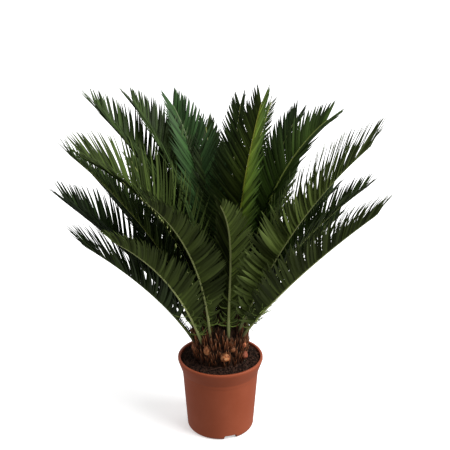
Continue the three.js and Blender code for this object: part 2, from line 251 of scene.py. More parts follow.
# In the order of the nodes frond_01 to frond_26.
FRONDS = [
    # front
    frond(
        289, (0.047, 0.207), 0.335, (2, 51), 1.3, sway=-38, turn=-14, leaf=0.85, tint_and_light="olive",
        shade=(1.9, 0.5), curl=2,
    ),
    frond(
        248, (0.047, 0.206), 0.386, (9, 54), 0.95, sway=-10, turn=-20, leaf=0.95, tint_and_light="olive",
        shade=(1, 0.5), curl=2,
    ),
    frond(
        316, (0.043, 0.209), 0.480, (25, 46), 1.6, sway=8, turn=22, leaf=1.35, tint_and_light="olive",
        shade=(1.05, 1.4),
    ),
    # right
    frond(
        324, (0.051, 0.206), 0.390, (33.5, 47.5), 0.7, turn=4, leaf=1.25, tint_and_light="olive",
        shade=(1, 0.8),
    ),
    frond(355, (0.044, 0.206), 0.366, (21, 51.5), 0.9, turn=10, tint_and_light="mid"),
    frond(12, (0.037, 0.218), 0.430, (9, 53), 2.1, turn=33, leaf=1.15, tint_and_light="mid", shade=(1.3, 1.2)),
    # upright, in the middle and at the back
    frond(
        22, (0.027, 0.220), 0.424, (0, 15.5), 1.1, turn=38, leaf=1.05, tint_and_light="bright",
        shade=(0.27, 1.95), bare=0.05,
    ),
    frond(38, (0.030, 0.220), 0.412, (10, 38), 1.2, turn=15, tint_and_light="deep", shade=(0.7, 0.7), bare=0.05),
    frond(
        42, (0.020, 0.224), 0.424, (6, 27), 1.3, turn=70, leaf=0.5, tint_and_light="mid",
        shade=(0.8, 0.9), bare=0.05,
    ),
    frond(101, (0.017, 0.225), 0.378, (5, 42), 1.3, tint_and_light="mid", shade=(0.7, 0.8), bare=0.05),
    frond(116, (0.030, 0.221), 0.395, (12, 56), 1.1, turn=-15, tint_and_light="deep"),
    frond(155, (0.030, 0.219), 0.470, (3, 51), 0.75, leaf=1.3, tint_and_light="mid"),
    frond(140, (0.028, 0.221), 0.454, (2, 53), 1.1, turn=4, leaf=1.25, tint_and_light="mid"),
    frond(119, (0.024, 0.223), 0.442, (3, 56), 1.5, turn=-6, leaf=1.15, tint_and_light="blue", bare=0.05),
    frond(
        69, (0.022, 0.223), 0.412, (4, 20), 1, turn=-10, leaf=0.9, tint_and_light="mid",
        shade=(0.8, 0.7), bare=0.05,
    ),
    # left
    frond(205, (0.030, 0.213), 0.425, (3, 57), 0.9, turn=-30, leaf=1.6, tint_and_light="olive", shade=(0.8, 0.85)),
    frond(190, (0.038, 0.207), 0.426, (13, 47.5), 0.75, turn=-8, tint_and_light="mid"),
    frond(175, (0.044, 0.197), 0.353, (32.5, 52.5), 0.8, turn=-8, leaf=1.5, tint_and_light="deep"),
    frond(227, (0.049, 0.192), 0.332, (21, 56), 1.05, tint_and_light="olive", curl=1.6, shade=(1.1, 1.5)),
    frond(
        200, (0.052, 0.189), 0.299, (28, 52.5), 0.7, turn=-4, leaf=1.55, tint_and_light="deep",
        curl=1.4, bare=0.2,
    ),
    # low, round the back
    frond(40, (0.046, 0.204), 0.350, (38, 60), 1, tint_and_light="deep"),
    frond(62, (0.049, 0.200), 0.380, (38, 60), 1, tint_and_light="mid"),
    frond(92, (0.050, 0.200), 0.400, (36, 60), 1, tint_and_light="deep"),
    frond(125, (0.050, 0.200), 0.400, (36, 58), 1, tint_and_light="mid"),
    frond(152, (0.048, 0.200), 0.365, (31, 50), 1, tint_and_light="deep"),
    frond(22, (0.049, 0.200), 0.290, (37, 52), 1, tint_and_light="deep"),
]

# ---------------------------------------------------------------- small helpers


def lerp(a, b, share):
    return a + (b - a) * share


def around(radius, heading, height):
    """The point at a distance from the pot's axis, in the direction of a heading."""
    angle = math.radians(heading)
    return Vector((radius * math.cos(angle), radius * math.sin(angle), height))


def unit(vectors):
    return vectors / np.linalg.norm(vectors, axis=-1, keepdims=True)


def dot(a, b):
    return np.sum(a * b, axis=-1, keepdims=True)


def mesh_object(name, points, faces, materials):
    """An object from a list of points and a list of faces with any number of corners."""
    mesh = bpy.data.meshes.new(name)
    mesh.from_pydata([tuple(p) for p in points], [], [tuple(f) for f in faces])
    for finish in materials:
        mesh.materials.append(finish)
    mesh.update()
    obj = bpy.data.objects.new(name, mesh)
    bpy.context.scene.collection.objects.link(obj)
    return obj


def array_object(name, points, quads, tris, materials, face_materials):
    """A large mesh from arrays: quads first, then tris."""
    mesh = bpy.data.meshes.new(name)
    mesh.vertices.add(len(points))
    mesh.vertices.foreach_set("co", points.astype(np.float32).ravel())
    corners = np.concatenate([quads.ravel(), tris.ravel()]).astype(np.int32)
    totals = np.concatenate([np.full(len(quads), 4), np.full(len(tris), 3)])
    starts = np.concatenate([[0], np.cumsum(totals)[:-1]]).astype(np.int32)
    mesh.loops.add(len(corners))
    mesh.loops.foreach_set("vertex_index", corners)
    mesh.polygons.add(len(totals))
    mesh.polygons.foreach_set("loop_start", starts)
    for finish in materials:
        mesh.materials.append(finish)
    mesh.polygons.foreach_set("material_index", np.asarray(face_materials, np.int32))
    mesh.update(calc_edges=True)
    obj = bpy.data.objects.new(name, mesh)
    bpy.context.scene.collection.objects.link(obj)
    return obj


def store(obj, name, values):
    """Stores a number on each point of an object's mesh."""
    stored = obj.data.attributes.new(name, "FLOAT", "POINT")
    stored.data.foreach_set("value", np.asarray(values, np.float32).ravel())


def smooth(obj, sharp_angle):
    """Rounds the shading, but for edges where faces meet at more than the sharp angle."""
    obj.data.shade_smooth()
    obj.data.set_sharp_from_angle(angle=math.radians(sharp_angle))


def settle(obj):
    """Turns what the modifiers make into the object's own plain mesh."""
    depsgraph = bpy.context.evaluated_depsgraph_get()
    made = bpy.data.meshes.new_from_object(
        obj.evaluated_get(depsgraph), preserve_all_data_layers=True, depsgraph=depsgraph
    )
    obj.modifiers.clear()
    obj.data = made
    return obj


# ---------------------------------------------------------------- materials


def material(name, roughness, **sockets):
    """A new material, its node tree and its shader, with constant sockets set on the shader."""
    made = bpy.data.materials.new(name)
    made.use_nodes = True
    shader = made.node_tree.nodes["Principled BSDF"]
    shader.inputs["Roughness"].default_value = roughness
    for socket, value in sockets.items():
        shader.inputs[socket.replace("_", " ")].default_value = value
    return made, made.node_tree, shader


def node(tree, kind, settings=None, **inputs):
    """A new node, with each named input linked to a socket or set to a value."""
    made = tree.nodes.new(kind)
    for name, value in (settings or {}).items():
        setattr(made, name, value)
    for name, value in inputs.items():
        socket = made.inputs[name.replace("_", " ")]
        if isinstance(value, bpy.types.NodeSocket):
            tree.links.new(value, socket)
        else:
            socket.default_value = value
    return made


def noise_of(tree, scale, detail=3, roughness=0.5, upright=1):
    """Noise on the piece's own coordinates. upright: below 1 it is drawn out along Z."""
    place = node(tree, "ShaderNodeTexCoord").outputs["Object"]
    if upright != 1:
        place = node(tree, "ShaderNodeMapping", Vector=place, Scale=(1, 1, upright)).outputs["Vector"]
    made = node(
        tree, "ShaderNodeTexNoise", Vector=place, Scale=scale, Detail=detail, Roughness=roughness
    )
    return made.outputs["Fac"]


def ramp(tree, factor, *stops):
    """stops: a position and the colour there, two or more times."""
    made = node(tree, "ShaderNodeValToRGB", Fac=factor)
    elements = made.color_ramp.elements
    while len(elements) < len(stops):
        elements.new(0.5)
    for element, (position, colour) in zip(elements, stops):
        element.position = position
        element.color = (*colour, 1)
    return made.outputs["Color"]


def bump(tree, height, strength, distance):
    """A surface that looks raised where the height is great, by up to the distance."""
    made = node(tree, "ShaderNodeBump", Height=height, Strength=strength, Distance=distance)
    return made.outputs["Normal"]


def attribute(tree, name):
    """A number stored on the piece's points."""
    return node(tree, "ShaderNodeAttribute", {"attribute_name": name}).outputs["Fac"]


def mixed(tree, factor, first, second, blend="MIX"):
    """Two colours mixed: each is a socket or three numbers, and the factor a socket or one."""
    made = node(tree, "ShaderNodeMix", {"data_type": "RGBA", "blend_type": blend})
    factor_socket, first_socket, second_socket = (made.inputs[i] for i in (0, 6, 7))
    for value, socket in ((factor, factor_socket), (first, first_socket), (second, second_socket)):
        if isinstance(value, bpy.types.NodeSocket):
            tree.links.new(value, socket)
        else:
            socket.default_value = value if socket == factor_socket else (*value, 1)
    return made.outputs[2]


def toned(tree, colour):
    """The colour, darker or paler by the piece's stored tone."""
    return mixed(tree, 1.0, colour, attribute(tree, "tone"), "MULTIPLY")


def make_pot_plastic():
    """Terracotta-coloured plastic: barely mottled, with a fine grain."""
    made, tree, shader = material("pot_plastic", 0.5, Specular_IOR_Level=0.22)
    mottle = noise_of(tree, scale=22, detail=4, roughness=0.55)
    colour = ramp(tree, mottle, (0.3, (0.340, 0.076, 0.031)), (0.7, (0.380, 0.091, 0.041)))
    tree.links.new(colour, shader.inputs["Base Color"])
    grain = noise_of(tree, scale=900, detail=2, roughness=0.6)
    tree.links.new(bump(tree, grain, strength=0.12, distance=0.0004), shader.inputs["Normal"])
    return made


def make_peat(name, by_tone):
    """Moist dark peat. by_tone: each crumb is darker or paler by its stored tone."""
    made, tree, shader = material(name, 0.95, Specular_IOR_Level=0.15)
    lumps = noise_of(tree, scale=240, detail=6, roughness=0.65)
    colour = ramp(tree, lumps, (0.35, (0.006, 0.0033, 0.0025)), (0.75, (0.034, 0.0155, 0.0095)))
    if by_tone:
        colour = toned(tree, colour)
    tree.links.new(colour, shader.inputs["Base Color"])
    tree.links.new(bump(tree, lumps, strength=0.8, distance=0.002), shader.inputs["Normal"])
    return made


def make_leaf(name, near, far, roughness, specular):
    """A leaflet's face: its colour goes from near, at the rib, to far, at the tip, where it is
    greyer as a painted sheen, and is darker or paler by the stored tone of the leaflet, which
    also carries painted light and shade."""
    made, tree, shader = material(name, roughness, Specular_IOR_Level=specular)
    along = mixed(tree, attribute(tree, "reach"), near, far)
    tree.links.new(toned(tree, along), shader.inputs["Base Color"])
    return made


def make_rib_green(name, colour):
    """A frond's rib: brown at its foot, then green, with faint mottling."""
    made, tree, shader = material(name, 0.45, Specular_IOR_Level=0.4)
    shares = ((0.05, 0.5), (0.14, 0.9), (0.3, 1.0), (1.0, 0.75))
    greens = [(reach, tuple(share * c for c in colour)) for reach, share in shares]
    along = ramp(tree, attribute(tree, "reach"), (0.0, (0.08, 0.05, 0.022)), *greens)
    mottle = ramp(tree, noise_of(tree, scale=300, detail=2), (0.3, (0, 0, 0)), (0.7, (1, 1, 1)))
    tree.links.new(mixed(tree, 0.12, along, mottle, "OVERLAY"), shader.inputs["Base Color"])
    return made


def make_bark():
    """The stem between its scales: dark upright fibres."""
    made, tree, shader = material("stem_fibre", 0.9, Specular_IOR_Level=0.2)
    fibres = noise_of(tree, scale=500, detail=5, roughness=0.7, upright=0.18)
    colour = ramp(
        tree,
        fibres,
        (0.3, (0.012, 0.006, 0.004)),
        (0.55, (0.045, 0.022, 0.012)),
        (0.8, (0.11, 0.05, 0.025)),
    )
    tree.links.new(colour, shader.inputs["Base Color"])
    tree.links.new(bump(tree, fibres, strength=0.9, distance=0.0015), shader.inputs["Normal"])
    return made


def make_scale_brown():
    """Dry scales: dark at the foot, red-brown in the middle, tan at the point, streaked, and
    each darker or paler by its stored tone."""
    made, tree, shader = material("dry_scale", 0.75, Specular_IOR_Level=0.15)
    fibres = noise_of(tree, scale=700, detail=3, roughness=0.6, upright=0.15)
    along = ramp(
        tree,
        attribute(tree, "reach"),
        (0.0, (0.014, 0.006, 0.003)),
        (0.4, (0.105, 0.034, 0.013)),
        (0.72, (0.31, 0.105, 0.040)),
        (1.0, (0.64, 0.37, 0.21)),
    )
    streaks = ramp(tree, fibres, (0.3, (0.2, 0.2, 0.2)), (0.7, (1, 1, 1)))
    streaked = mixed(tree, 0.5, along, streaks, "MULTIPLY")
    tree.links.new(toned(tree, streaked), shader.inputs["Base Color"])
    tree.links.new(bump(tree, fibres, strength=0.6, distance=0.0008), shader.inputs["Normal"])
    return made


def make_knob_tan():
    """Offset buds: orange-tan with paler patches and darker cracks, redder by their stored red,
    and darker or paler by their stored tone, which carries painted shade towards the stem."""
    made, tree, shader = material("offset_bud", 0.6, Specular_IOR_Level=0.25)
    patches = noise_of(tree, scale=190, detail=4, roughness=0.6)
    tan = ramp(
        tree,
        patches,
        (0.36, (0.10, 0.032, 0.012)),
        (0.50, (0.36, 0.12, 0.042)),
        (0.60, (0.46, 0.21, 0.085)),
        (0.72, (0.66, 0.42, 0.24)),
    )
    colour = mixed(tree, attribute(tree, "red"), tan, (0.46, 0.10, 0.055))
    tree.links.new(toned(tree, colour), shader.inputs["Base Color"])
    tree.links.new(bump(tree, patches, strength=0.7, distance=0.0012), shader.inputs["Normal"])
    return made


# The greens of groups of fronds. The darkest set, deep, is painted shade for fronds in the shadow of the
# crown and low round the back. The upright frond in the middle gets painted light: a yellow-green, paler
# near its rib, where light falls on it and through it. The greyer colours at the tips are a painted
# sheen.
TINTS_AND_LIGHT = {
    # top near the rib, top at the tip, underside near the rib, underside at the tip, rib
    "deep": (
        (0.022, 0.042, 0.008), (0.024, 0.043, 0.016), (0.032, 0.050, 0.011), (0.034, 0.052, 0.020),
        (0.20, 0.25, 0.06),
    ),
    "mid": (
        (0.042, 0.074, 0.012), (0.038, 0.062, 0.020), (0.052, 0.078, 0.014), (0.050, 0.074, 0.024),
        (0.34, 0.40, 0.10),
    ),
    "olive": (
        (0.052, 0.082, 0.014), (0.066, 0.094, 0.025), (0.066, 0.092, 0.018), (0.078, 0.104, 0.030),
        (0.52, 0.58, 0.21),
    ),
    "bright": (
        (0.205, 0.295, 0.040), (0.070, 0.120, 0.035), (0.170, 0.250, 0.040), (0.070, 0.115, 0.034),
        (0.68, 0.74, 0.10),
    ),
    "blue": (
        (0.036, 0.088, 0.022), (0.044, 0.086, 0.032), (0.046, 0.092, 0.030), (0.052, 0.090, 0.038),
        (0.20, 0.28, 0.12),
    ),
}


def make_tints_and_light():
    """The finishes of a leaflet's top, of its underside and of the rib, for each set of greens,
    painted light and shade among them.
    """
    made = {}
    for name, (top, top_tip, under, under_tip, rib) in TINTS_AND_LIGHT.items():
        made[name] = SimpleNamespace(
            top=make_leaf(f"leaf_top_{name}", top, top_tip, roughness=0.5, specular=0.12),
            under=make_leaf(f"leaf_under_{name}", under, under_tip, roughness=0.6, specular=0.08),
            rib=make_rib_green(f"rib_{name}", rib),
        )
    return made


# ---------------------------------------------------------------- geometry node trees

SCATTER_INPUTS = {
    "Geometry": "NodeSocketGeometry",
    "Piece": "NodeSocketObject",
    "Per square metre": "NodeSocketFloat",
    "Smallest": "NodeSocketFloat",
    "Largest": "NodeSocketFloat",
    "Darkest": "NodeSocketFloat",
    "Palest": "NodeSocketFloat",
    "Seed": "NodeSocketInt",
    "Finish": "NodeSocketMaterial",
}


def random_number(tree, given, lowest, highest):
    """A random number for each copy, between two of the tree's inputs."""
    made = tree.nodes.new("FunctionNodeRandomValue")
    least, most = made.inputs[2], made.inputs[3]  # its sockets for plain numbers
    tree.links.new(given[lowest], least)
    tree.links.new(given[highest], most)
    tree.links.new(given["Seed"], made.inputs["Seed"])
    return made.outputs[1]


def stored_vector(tree, name):
    """Three numbers stored on each point that a copy stands on."""
    made = tree.nodes.new("GeometryNodeInputNamedAttribute")
    made.data_type = "FLOAT_VECTOR"
    made.inputs["Name"].default_value = name
    return made.outputs["Attribute"]


def scatter_tree(name, own_points):
    """Copies of a piece on the points of a mesh, or on points dealt over its faces.
    own_points: the mesh's points carry the turn and the size of each copy."""
    tree = bpy.data.node_groups.new(name, "GeometryNodeTree")
    for label, kind in SCATTER_INPUTS.items():
        tree.interface.new_socket(label, in_out="INPUT", socket_type=kind)
    tree.interface.new_socket("Geometry", in_out="OUTPUT", socket_type="NodeSocketGeometry")
    given = tree.nodes.new("NodeGroupInput").outputs
    result = tree.nodes.new("NodeGroupOutput")
    link = tree.links.new
    piece = tree.nodes.new("GeometryNodeObjectInfo")
    link(given["Piece"], piece.inputs["Object"])
    copies = tree.nodes.new("GeometryNodeInstanceOnPoints")
    link(piece.outputs["Geometry"], copies.inputs["Instance"])
    size = random_number(tree, given, "Smallest", "Largest")
    if own_points:
        link(given["Geometry"], copies.inputs["Points"])
        link(stored_vector(tree, "turn"), copies.inputs["Rotation"])
        scaled = tree.nodes.new("ShaderNodeVectorMath")
        scaled.operation = "SCALE"
        link(stored_vector(tree, "size"), scaled.inputs[0])
        link(size, scaled.inputs["Scale"])
        link(scaled.outputs[0], copies.inputs["Scale"])
    else:
        dealt = tree.nodes.new("GeometryNodeDistributePointsOnFaces")
        link(given["Geometry"], dealt.inputs["Mesh"])
        link(given["Per square metre"], dealt.inputs["Density"])
        link(given["Seed"], dealt.inputs["Seed"])
        link(dealt.outputs["Points"], copies.inputs["Points"])
        turn = tree.nodes.new("FunctionNodeRandomValue")
        turn.data_type = "FLOAT_VECTOR"
        most = turn.inputs[1]
        most.default_value = (math.tau, math.tau, math.tau)
        link(given["Seed"], turn.inputs["Seed"])
        link(turn.outputs[0], copies.inputs["Rotation"])
        link(size, copies.inputs["Scale"])
    with_tone = tree.nodes.new("GeometryNodeStoreNamedAttribute")
    with_tone.domain = "INSTANCE"
    with_tone.inputs["Name"].default_value = "tone"
    link(copies.outputs["Instances"], with_tone.inputs["Geometry"])
    link(random_number(tree, given, "Darkest", "Palest"), with_tone.inputs["Value"])
    real = tree.nodes.new("GeometryNodeRealizeInstances")
    link(with_tone.outputs["Geometry"], real.inputs["Geometry"])
    finish = tree.nodes.new("GeometryNodeSetMaterial")
    link(real.outputs["Geometry"], finish.inputs["Geometry"])
    link(given["Finish"], finish.inputs["Material"])
    link(finish.outputs["Geometry"], result.inputs["Geometry"])
    return tree


def scatter(name, tree, base, **inputs):
    """Runs a tree on the mesh of base and returns the result as a plain object. A space in
    the name of an input is written as an underscore here."""
    obj = bpy.data.objects.new(name, base.data.copy())
    bpy.context.scene.collection.objects.link(obj)
    modifier = obj.modifiers.new("scatter", "NODES")
    modifier.node_group = tree
    for item in tree.interface.items_tree:
        key = item.name.replace(" ", "_")
        if item.in_out == "INPUT" and key in inputs:
            modifier[item.identifier] = inputs[key]
    return settle(obj)


def drop(*objects):
    """Removes helpers that are not part of the plant."""
    for obj in objects:
        bpy.data.objects.remove(obj)


# ---------------------------------------------------------------- pot


def flare(height):
    """How far the wall has opened from the neck, at 0, to the lip, at 1."""
    share = (height - POT.neck_height) / (POT.lip_foot - POT.neck_height)
    return min(max(share, 0), 1) ** POT.flare_power


def wall_radius(height):
    """Radius of the tapered wall, which stays as wide as the neck above it."""
    return lerp(POT.base_radius, POT.neck_radius, min(height / POT.neck_height, 1))


def outer_radius(height):
    """Outside of the pot's wall up to its lip, with the two steps, which fade into the lip."""
    rises = [0.5 + 0.5 * math.tanh((height - step) / POT.step_height) for step in POT.steps]
    fading = max(0, min(1, (POT.lip_foot - height) / POT.step_fade))
    proud = POT.step_proud * sum(rises) * fading
    return wall_radius(height) + (POT.rim_radius - POT.neck_radius) * flare(height) + proud


def inner_radius(height):
    """Inside of the pot's wall up to its mouth."""
    opening = POT.mouth_radius - POT.neck_radius + POT.wall
    return wall_radius(height) - POT.wall + opening * flare(height)


def turned(name, profile, segments, materials):
    """A turned mesh about +Z. The profile of (radius, height) starts and ends on the axis
    and runs up the outside."""
    points = []
    for radius, height in profile:
        if radius == 0:
            points.append([(0, 0, height)])
        else:
            angles = np.linspace(0, math.tau, segments, endpoint=False)
            points.append([(radius * math.cos(a), radius * math.sin(a), height) for a in angles])
    starts = np.cumsum([0] + [len(ring) for ring in points])
    faces = []
    for i in range(len(points) - 1):
        low, high = points[i], points[i + 1]
        a, b = starts[i], starts[i + 1]
        for k in range(segments):
            after = (k + 1) % segments
            if len(low) == 1:
                faces.append((a, b + after, b + k))
            elif len(high) == 1:
                faces.append((a + k, a + after, b))
            else:
                faces.append((a + k, a + after, b + after, b + k))
    return mesh_object(name, [p for ring in points for p in ring], faces, materials)


def corner_arc(radius, height, size, start, end, steps=4):
    """Points of a rounded corner about (radius, height), from one angle to another."""
    angles = [math.radians(lerp(start, end, i / steps)) for i in range(steps + 1)]
    return [(radius + size * math.cos(a), height + size * math.sin(a)) for a in angles]


def drain_cutter():
    """The drainage notches as one mesh of boxes with rounded tops."""
    points, faces = [], []
    half, top, corner = DRAIN.width / 2, DRAIN.height, DRAIN.corner
    outline = [(-half, -top), (half, -top)]
    outline += corner_arc(half - corner, top - corner, corner, 0, 90)
    outline += corner_arc(-half + corner, top - corner, corner, 90, 180)
    count = len(outline)
    for i in range(DRAIN.count):
        heading = DRAIN.first_heading + 360 / DRAIN.count * i
        out = around(1, heading, 0)
        across = Vector((-out.y, out.x, 0))
        start = len(points)
        for radius in (POT.base_radius - DRAIN.depth, POT.base_radius + DRAIN.depth):
            for a, z in outline:
                points.append(out * radius + across * a + Vector((0, 0, z)))
        faces.append([start + k for k in reversed(range(count))])
        faces.append([start + count + k for k in range(count)])
        for k in range(count):
            after = (k + 1) % count
            faces.append([start + k, start + after, start + count + after, start + count + k])
    return mesh_object("drain_cutter", points, faces, [])


def cut_drains(obj):
    """Cuts the drainage notches out of a piece."""
    cutter = drain_cutter()
    cut = obj.modifiers.new("drains", "BOOLEAN")
    cut.operation = "DIFFERENCE"
    cut.object = cutter
    settle(obj)
    drop(cutter)


def make_pot(finish):
    """The pot as one turned shell, from the middle of its base over the lip to its floor."""
    lip, heel = POT.edge, POT.heel
    outer_heights = np.linspace(heel, POT.lip_foot, POT.outer_rows)
    inner_heights = np.linspace(POT.lip_foot, POT.floor, POT.inner_rows)
    profile = (
        [(0, 0)]
        + [(r, 0) for r in np.linspace(POT.hub, outer_radius(0) - heel, POT.base_rings)]
        + corner_arc(outer_radius(heel) - heel, heel, heel, *POT.heel_turn, steps=7)
        + [(outer_radius(z), z) for z in outer_heights]
        + corner_arc(POT.rim_radius - lip, POT.height - lip, lip, 0, 90, steps=5)
        + corner_arc(POT.mouth_radius + lip, POT.height - lip, lip, 90, 180)
        + [(inner_radius(z), z) for z in inner_heights]
        + [(0, POT.floor)]
    )
    pot = turned("nursery_pot", profile, POT.segments, [finish])
    cut_drains(pot)
    smooth(pot, sharp_angle=35)
    return pot


# ---------------------------------------------------------------- soil


def roughness_at(point, size, strength):
    """Uneven rise or fall at a point, in lumps of about the given size."""
    fall_off, finer_by, layers = 0.7, 2.0, 4
    return strength * noise.fractal(Vector(point) / size, fall_off, finer_by, layers)


def soil_top(radius):
    """Height of the soil before its lumps: level round the stem, falling to the edge."""
    inwards = 1 - min(1, radius / inner_radius(SOIL.edge_height))
    return lerp(SOIL.edge_height, SOIL.middle_height, min(1, 2 * inwards))


def make_soil(finish):
    """The plug of peat: its sides follow the pot and its top is rough."""
    foot = POT.floor + SOIL.gap
    heights = np.linspace(foot, SOIL.wall_top, SOIL.wall_rows)
    wall = [(inner_radius(z) - SOIL.gap, z) for z in heights]
    edge = inner_radius(SOIL.edge_height) - SOIL.edge_gap
    radii = [edge * (1 - i / SOIL.rings) for i in range(SOIL.rings)]
    top = [(radius, soil_top(radius)) for radius in radii]
    profile = [(0, foot)] + wall + top + [(0, SOIL.middle_height)]
    soil = turned("peat", profile, SOIL.segments, [finish])
    for vertex in soil.data.vertices:
        if vertex.co.z > (SOIL.wall_top + SOIL.edge_height) / 2:
            vertex.co.z += roughness_at(vertex.co, SOIL.lump, SOIL.bumps)
            vertex.co.z = min(vertex.co.z, POT.height - SOIL.below_rim)
    cut_drains(soil)
    smooth(soil, sharp_angle=60)
    return soil


def make_crumb(name, finish, seed, uneven):
    """One crumb of unit size, to be scattered."""
    bpy.ops.mesh.primitive_ico_sphere_add(subdivisions=1, radius=0.5)
    crumb = bpy.context.object
    crumb.name = name
    for vertex in crumb.data.vertices:
        vertex.co *= 1 + uneven * noise.noise(vertex.co * 3 + Vector((seed, 0, 0)))
    crumb.data.materials.append(finish)
    return crumb


def soil_surface(inner, outer):
    """A ring of the soil's top on which crumbs are dealt."""
    rings, segments = 8, 60
    points, faces = [], []
    for i in range(rings + 1):
        radius = lerp(inner, outer, i / rings)
        for k in range(segments):
            place = around(radius, 360 * k / segments, soil_top(radius))
            place.z += roughness_at(place, SOIL.lump, SOIL.bumps)
            points.append(place)
    for i in range(rings):
        for k in range(segments):
            after = (k + 1) % segments
            a, b = i * segments, (i + 1) * segments
            faces.append((a + k, b + k, b + after, a + after))
    return mesh_object("soil_surface", points, faces, [])


def make_crumbs(tree, crumbly):
    """Crumbs of peat and grains of pale grit over the soil."""
    gritty = material("pale_grit", 0.8, Base_Color=(0.20, 0.19, 0.11, 1))[0]
    surface = soil_surface(SOIL.crumbs_inside, POT.mouth_radius - SOIL.crumbs_gap)
    crumb = make_crumb("crumb", crumbly, seed=1, uneven=0.7)
    grain = make_crumb("grit", gritty, seed=5, uneven=0.5)
    crumbs = scatter(
        "peat_crumbs", tree, surface, Piece=crumb, Per_square_metre=110000.0, Smallest=0.0008,
        Largest=0.0056, Darkest=0.1, Palest=2.8, Seed=3, Finish=crumbly,
    )
    grit = scatter(
        "pale_grit", tree, surface, Piece=grain, Per_square_metre=9000.0, Smallest=0.0006,
        Largest=0.0020, Seed=8, Finish=gritty,
    )
    drop(surface, crumb, grain)
    return crumbs, grit


# Loose fibres on the soil: heading and radius of the foot, direction they run in, length, tone.
FIBRES = [
    (252, 0.060, 330, 0.034, 5.0),
    (236, 0.064, 305, 0.022, 1.6),
    (262, 0.070, 10, 0.026, 1.3),
    (284, 0.068, 160, 0.024, 1.8),
    (225, 0.066, 120, 0.020, 1.2),
    (318, 0.066, 40, 0.022, 1.9),
]


def make_fibres(finish):
    """Thin bent threads, three-sided and tapering, that lie on the soil."""
    points, faces, tones = [], [], []
    for heading, radius, run, length, tone in FIBRES:
        spot = around(radius, heading, SOIL.edge_height + FIBRE.lying_height)
        start = len(points)
        for i in range(FIBRE.steps + 1):
            share = i / FIBRE.steps
            swing = FIBRE.swing * math.sin(FIBRE.swing_span * share + heading)
            ahead = around(1, run + swing, 0)
            half = FIBRE.half_width * (1 - FIBRE.taper * share)
            aside = Vector((-ahead.y, ahead.x, 0)) * half
            lifted = spot + Vector((0, 0, FIBRE.arch * math.sin(math.pi * share)))
            ridge = lifted + Vector((0, 0, FIBRE.ridge * FIBRE.half_width))
            points += [lifted - aside, lifted + aside, ridge]
            tones += [tone] * 3
            spot = spot + ahead * length / FIBRE.steps
        for i in range(FIBRE.steps):
            a, b = start + 3 * i, start + 3 * i + 3
            for k in range(3):
                after = (k + 1) % 3
                faces.append((a + k, a + after, b + after, b + k))
        end = start + 3 * FIBRE.steps
        faces += [(start + 2, start + 1, start), (end, end + 1, end + 2)]
    fibres = mesh_object("soil_fibres", points, faces, [finish])
    store(fibres, "tone", tones)
    return fibres


# ---------------------------------------------------------------- caudex


def caudex_radius(height):
    """Radius of the stem, a full round body about its centre."""
    span = CAUDEX.rise_above if height > CAUDEX.centre else CAUDEX.drop_below
    share = abs(height - CAUDEX.centre) / span
    return CAUDEX.radius * math.sqrt(max(0, 1 - share ** CAUDEX.fullness))


def make_caudex(finish):
    """The stem under its scales, from below the soil to its top."""
    profile = [(0, CAUDEX.foot)]
    for i in range(1, CAUDEX.rings):
        rise = -math.cos(math.pi * i / CAUDEX.rings)
        depth = CAUDEX.centre - CAUDEX.foot - CAUDEX.foot_gap
        height = CAUDEX.centre + rise * (CAUDEX.rise_above if rise > 0 else depth)
        radius = max(CAUDEX.least_radius, caudex_radius(height)) - CAUDEX.under_scales
        profile.append((radius, height))
    profile.append((0, CAUDEX.centre + CAUDEX.rise_above))
    stem = turned("stem", profile, CAUDEX.segments, [finish])
    for vertex in stem.data.vertices:
        x, y, z = vertex.co
        out = Vector((x, y, 0)).normalized()
        stretched = Vector((x, y, z * CAUDEX.grain_stretch))
        vertex.co += out * roughness_at(stretched, CAUDEX.grain, CAUDEX.grain_depth)
    smooth(stem, sharp_angle=60)
    return stem


def make_scale(name, finish, width, thick, curl):
    """One dry scale of unit length: a keeled tongue that stands on its foot and points up.
    Its outer face is towards +X."""
    points, faces, reach = [], [], []
    for level in SCALE.levels:
        half = width / 2 * (1 - SCALE.narrowing * level) * (1 - level ** SCALE.point_power)
        deep = thick * (1 - level) ** SCALE.thinning_power
        back = curl * level ** 2
        shoulder = (back + deep * SCALE.shoulder, half * SCALE.shoulder)
        section = [
            (back, -half),
            (shoulder[0], -shoulder[1]),
            (back + deep, 0),
            shoulder,
            (back, half),
            (back - deep * SCALE.back_bulge, 0),
        ]
        points += [(x, y, level) for x, y in section]
        reach += [level] * len(section)
    points.append((curl, 0, 1.0))
    reach.append(1.0)
    sides = len(section)
    last = (len(SCALE.levels) - 1) * sides
    for a in range(0, last, sides):
        b = a + sides
        for k in range(sides):
            after = (k + 1) % sides
            faces.append((a + k, a + after, b + after, b + k))
    for k in range(sides):
        faces.append((last + k, last + (k + 1) % sides, len(points) - 1))
    faces.append(tuple(reversed(range(sides))))
    scale = mesh_object(name, points, faces, [finish])
    store(scale, "reach", reach)
    smooth(scale, sharp_angle=50)
    return scale


def stand_points(name, rows):
    """A mesh of loose points, each with the turn and the size of the copy it holds."""
    obj = mesh_object(name, [row[0] for row in rows], [], [])
    for label, index in (("turn", 1), ("size", 2)):
        stored = obj.data.attributes.new(label, "FLOAT_VECTOR", "POINT")
        stored.data.foreach_set("vector", np.array([row[index] for row in rows], float).ravel())
    return obj


